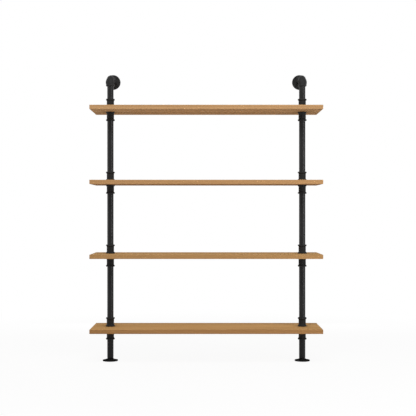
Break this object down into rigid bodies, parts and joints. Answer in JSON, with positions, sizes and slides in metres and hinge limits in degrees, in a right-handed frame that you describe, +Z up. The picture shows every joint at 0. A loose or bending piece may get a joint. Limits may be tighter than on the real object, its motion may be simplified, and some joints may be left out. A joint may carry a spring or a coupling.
{
  "type": "pipe shelving unit",
  "caption": "Open shelving unit: wooden boards clamped between beaded couplings on two black iron pipe uprights, with flanged feet and elbows turned back to wall flanges.",
  "frame": {"origin": "on the floor, midway between the two uprights and midway through the depth of the boards", "axes": "+Z up, +Y towards the wall, +X to the right for a person facing the wall; the front faces -Y"},
  "size_m": [1.2, 0.3, 1.5304],
  "materials": {
    "board_wood": "light brown board, satin, grain along its length",
    "black_pipe": "satin black powder coat on steel pipe",
    "black_fitting": "satin black coat on malleable iron castings"
  },
  "bodies": {
    "root": {"left_coupling_over_shelf_1": "black_fitting", "left_coupling_over_shelf_2": "black_fitting", "left_coupling_over_shelf_3": "black_fitting", "left_coupling_over_shelf_4": "black_fitting", "left_coupling_under_shelf_1": "black_fitting", "left_coupling_under_shelf_2": "black_fitting", "left_coupling_under_shelf_3": "black_fitting", "left_coupling_under_shelf_4": "black_fitting", "left_elbow": "black_fitting", "left_floor_flange": "black_fitting", "left_foot_pipe": "black_pipe", "left_riser_pipe_1_to_2": "black_pipe", "left_riser_pipe_2_to_3": "black_pipe", "left_riser_pipe_3_to_4": "black_pipe", "left_shelf_nipple_1": "black_pipe", "left_shelf_nipple_2": "black_pipe", "left_shelf_nipple_3": "black_pipe", "left_shelf_nipple_4": "black_pipe", "left_top_pipe": "black_pipe", "left_wall_flange": "black_fitting", "left_wall_pipe": "black_pipe", "right_coupling_over_shelf_1": "black_fitting", "right_coupling_over_shelf_2": "black_fitting", "right_coupling_over_shelf_3": "black_fitting", "right_coupling_over_shelf_4": "black_fitting", "right_coupling_under_shelf_1": "black_fitting", "right_coupling_under_shelf_2": "black_fitting", "right_coupling_under_shelf_3": "black_fitting", "right_coupling_under_shelf_4": "black_fitting", "right_elbow": "black_fitting", "right_floor_flange": "black_fitting", "right_foot_pipe": "black_pipe", "right_riser_pipe_1_to_2": "black_pipe", "right_riser_pipe_2_to_3": "black_pipe", "right_riser_pipe_3_to_4": "black_pipe", "right_shelf_nipple_1": "black_pipe", "right_shelf_nipple_2": "black_pipe", "right_shelf_nipple_3": "black_pipe", "right_shelf_nipple_4": "black_pipe", "right_top_pipe": "black_pipe", "right_wall_flange": "black_fitting", "right_wall_pipe": "black_pipe", "shelf_1": "board_wood", "shelf_2": "board_wood", "shelf_3": "board_wood", "shelf_4": "board_wood"}
  },
  "joints": []
}
